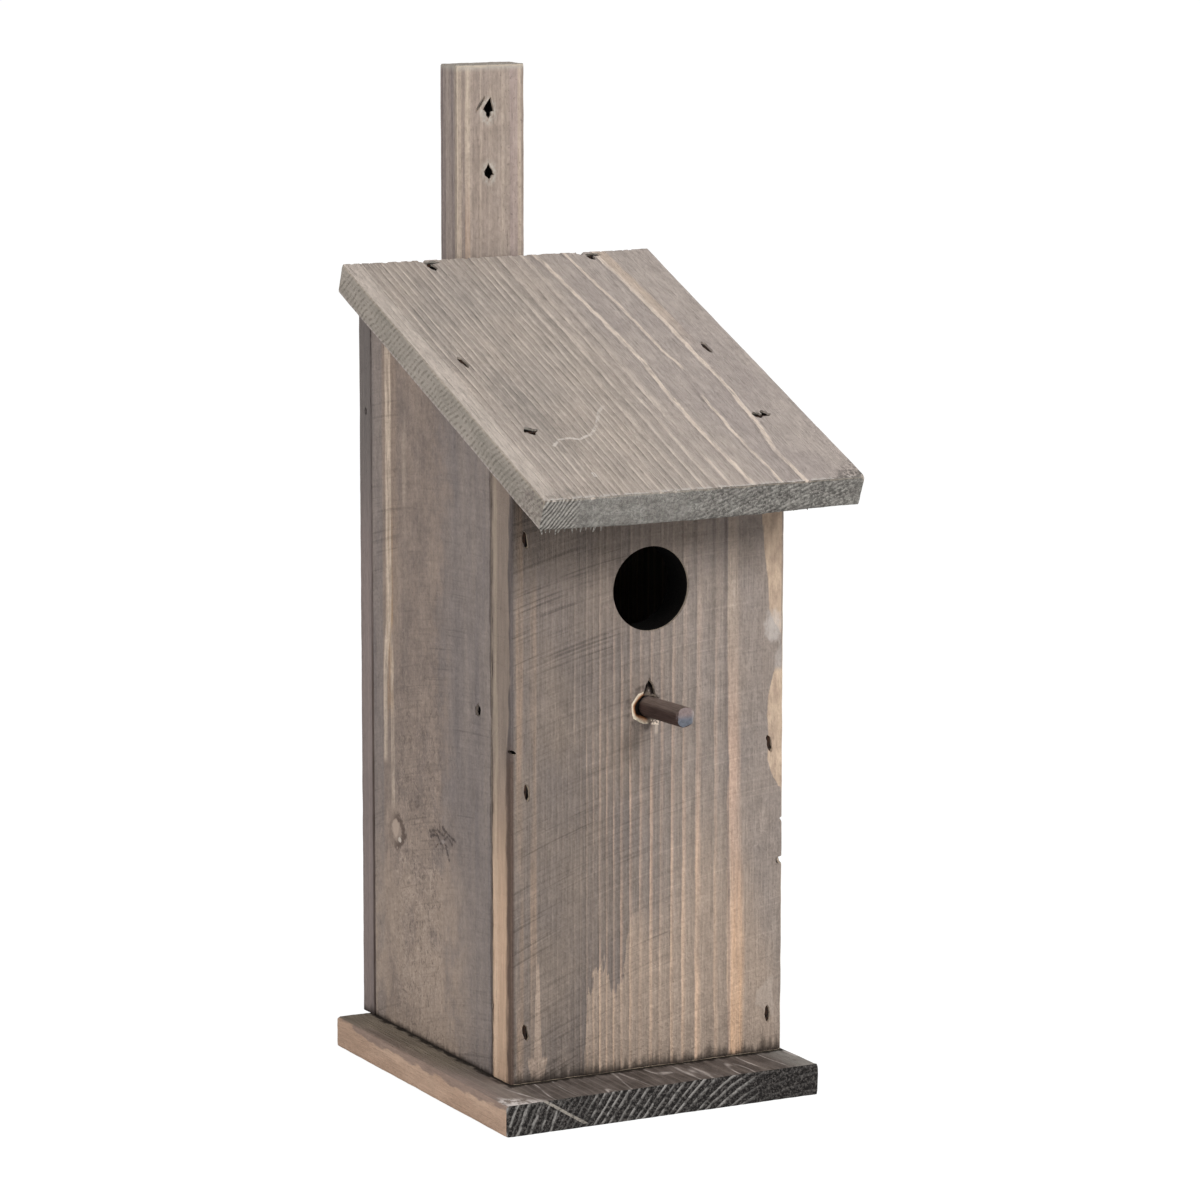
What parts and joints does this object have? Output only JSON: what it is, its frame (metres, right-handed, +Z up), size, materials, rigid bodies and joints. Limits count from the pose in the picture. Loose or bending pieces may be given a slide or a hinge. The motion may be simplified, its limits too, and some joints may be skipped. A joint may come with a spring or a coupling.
{
  "type": "bird nest box",
  "caption": "Wooden nest box with a sloping roof board, round entrance hole, perch dowel, projecting floor board and a hanging batten up its back.",
  "frame": {"origin": "on the underside of the floor board, under the middle of the body's width and depth", "axes": "+Z up, the entrance hole and the perch face -Y, and the batten's back lies against the wall or tree towards +Y"},
  "size_m": [0.1395, 0.1913, 0.384],
  "materials": {
    "front_wood": "weathered grey-brown spruce, sawn, vertical grain",
    "side_wood": "weathered grey spruce, sawn, vertical grain",
    "roof_wood": "weathered light grey spruce, grain down the slope",
    "floor_wood": "weathered grey-brown spruce, grain front to back, dark end grain",
    "batten_wood": "weathered grey-brown lath, vertical grain",
    "perch_wood": "dark stained round stick, pale cut end",
    "staple_steel": "dark tarnished wire"
  },
  "bodies": {
    "root": {"floor_board": "floor_wood", "front_board": "front_wood", "left_side_board": "side_wood", "right_side_board": "side_wood", "back_board": "side_wood", "roof_board": "roof_wood", "hanging_batten": "batten_wood", "perch_dowel": "perch_wood", "front_staples_left": "staple_steel", "front_staples_right": "staple_steel", "back_staples_left": "staple_steel", "back_staples_right": "staple_steel", "roof_side_staples": "staple_steel", "roof_front_staples": "staple_steel", "roof_back_staples": "staple_steel", "floor_staples_front": "staple_steel", "floor_staples_left": "staple_steel", "floor_staples_right": "staple_steel", "batten_staples": "staple_steel"}
  },
  "joints": []
}
